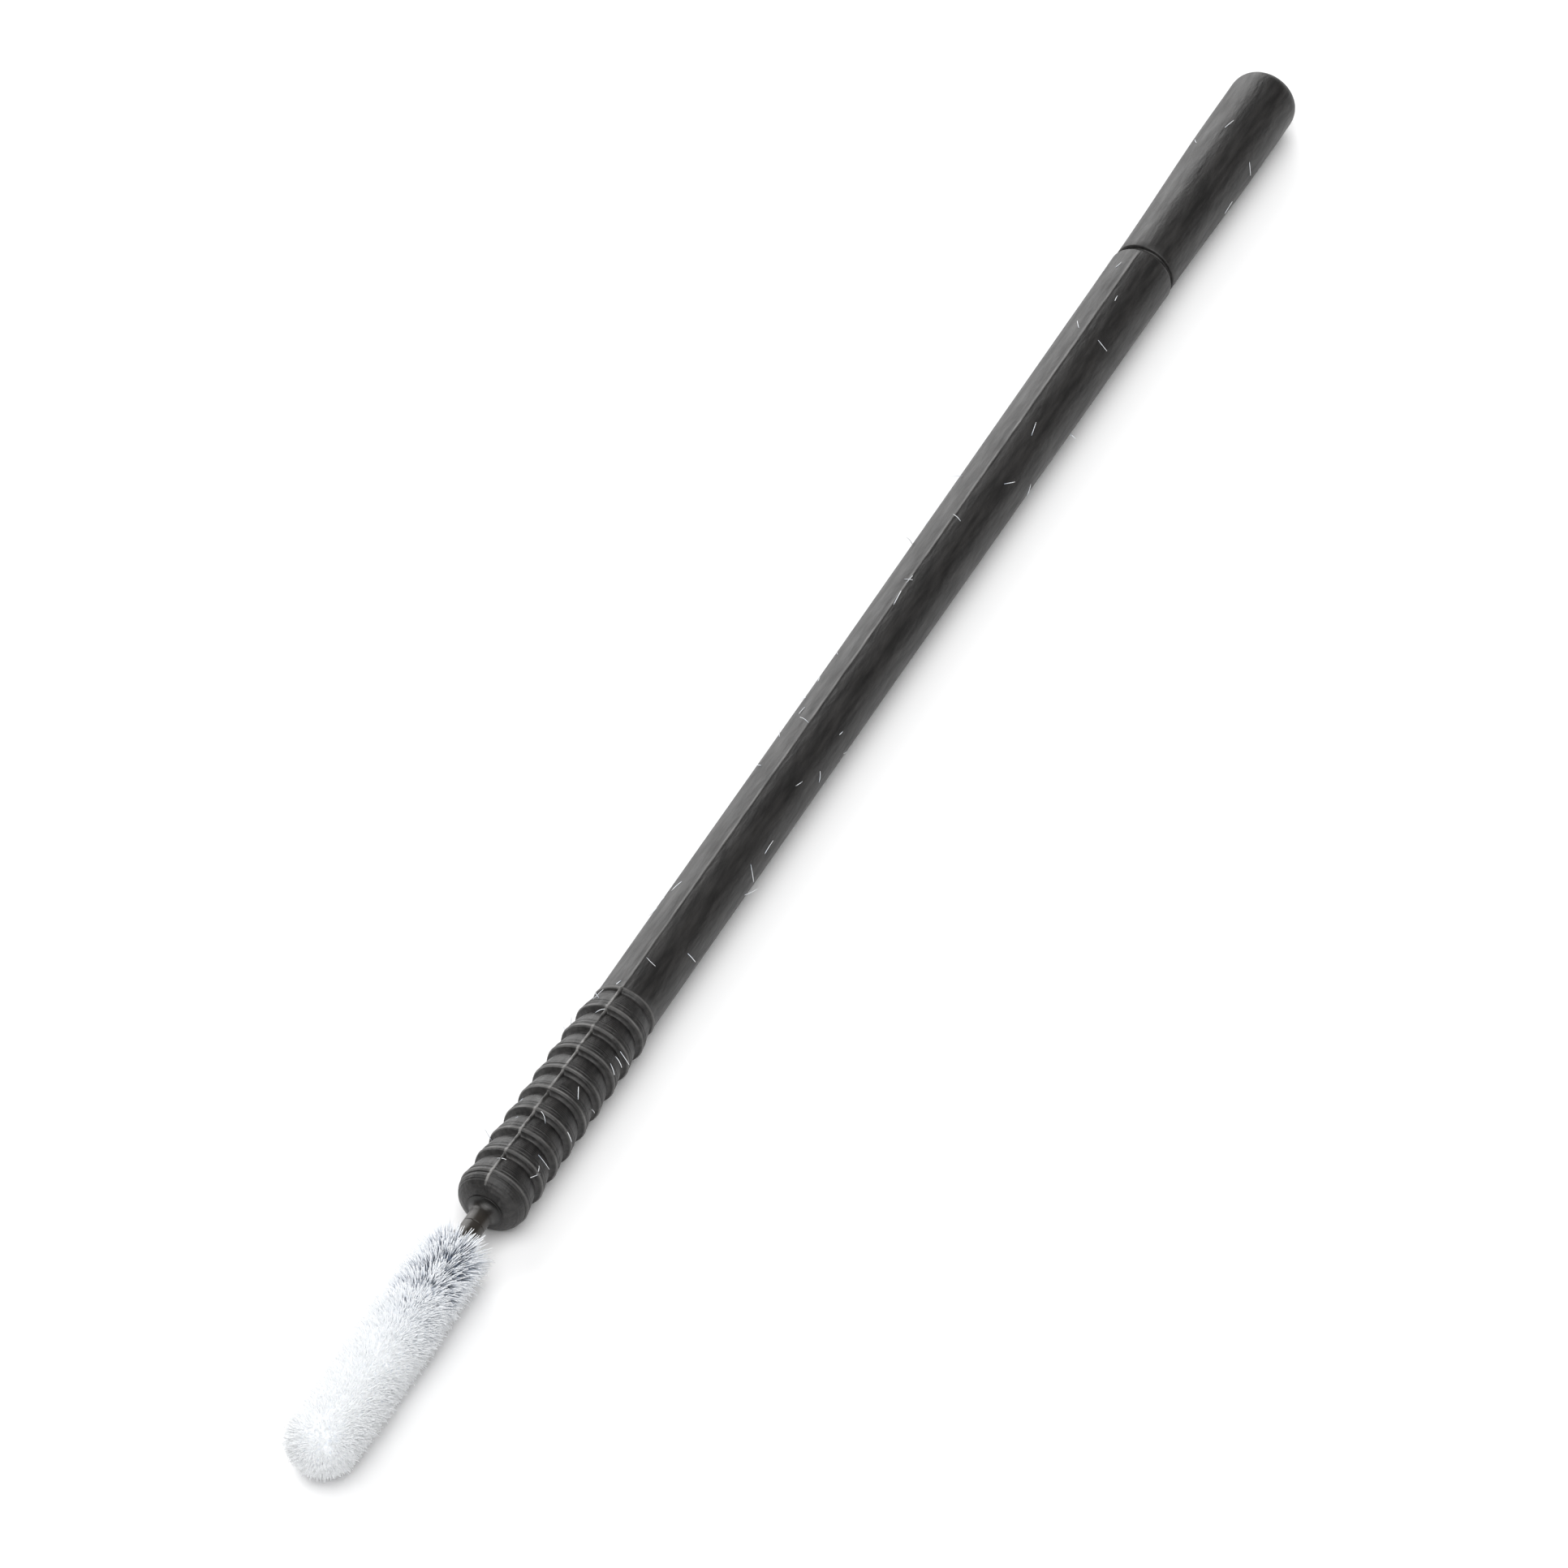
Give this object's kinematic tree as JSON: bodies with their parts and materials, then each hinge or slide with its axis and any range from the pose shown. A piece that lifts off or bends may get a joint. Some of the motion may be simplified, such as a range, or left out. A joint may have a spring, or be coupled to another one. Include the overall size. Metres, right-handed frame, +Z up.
{
  "type": "flocked applicator brush",
  "caption": "Slim disposable applicator brush: round black stem with ring groove and ribbed grip, thin flexible neck and a white flocked tip.",
  "frame": {"origin": "middle of the brush's length, on the surface that the brush lies on, under its axis", "axes": "+X along the stem towards the flocked tip, +Z up from the surface that the brush lies on, +Y sideways"},
  "size_m": [0.095, 0.0032, 0.0032],
  "materials": {
    "stem_black": "satin",
    "neck_black": "satin, thin enough to look faintly brown",
    "flock_glue": "semi-gloss film",
    "flock_white": "short upright flock fibres"
  },
  "bodies": {
    "stem": {"handle": "stem_black"},
    "neck": {"neck_link": "neck_black"},
    "tip": {"tip_core": "neck_black", "glue_coat": "flock_glue", "flock_pile": "flock_white"}
  },
  "joints": [
    {"name": "neck_bend", "type": "hinge", "parent": "stem", "child": "neck", "pos_m": [0.032, 0, 0.0016], "axis": [0, -1, 0], "range_deg": [-45, 45]},
    {"name": "neck_swing", "type": "hinge", "parent": "neck", "child": "tip", "pos_m": [0.033, 0, 0.0016], "axis": [0, 0, 1], "range_deg": [-45, 45]}
  ]
}
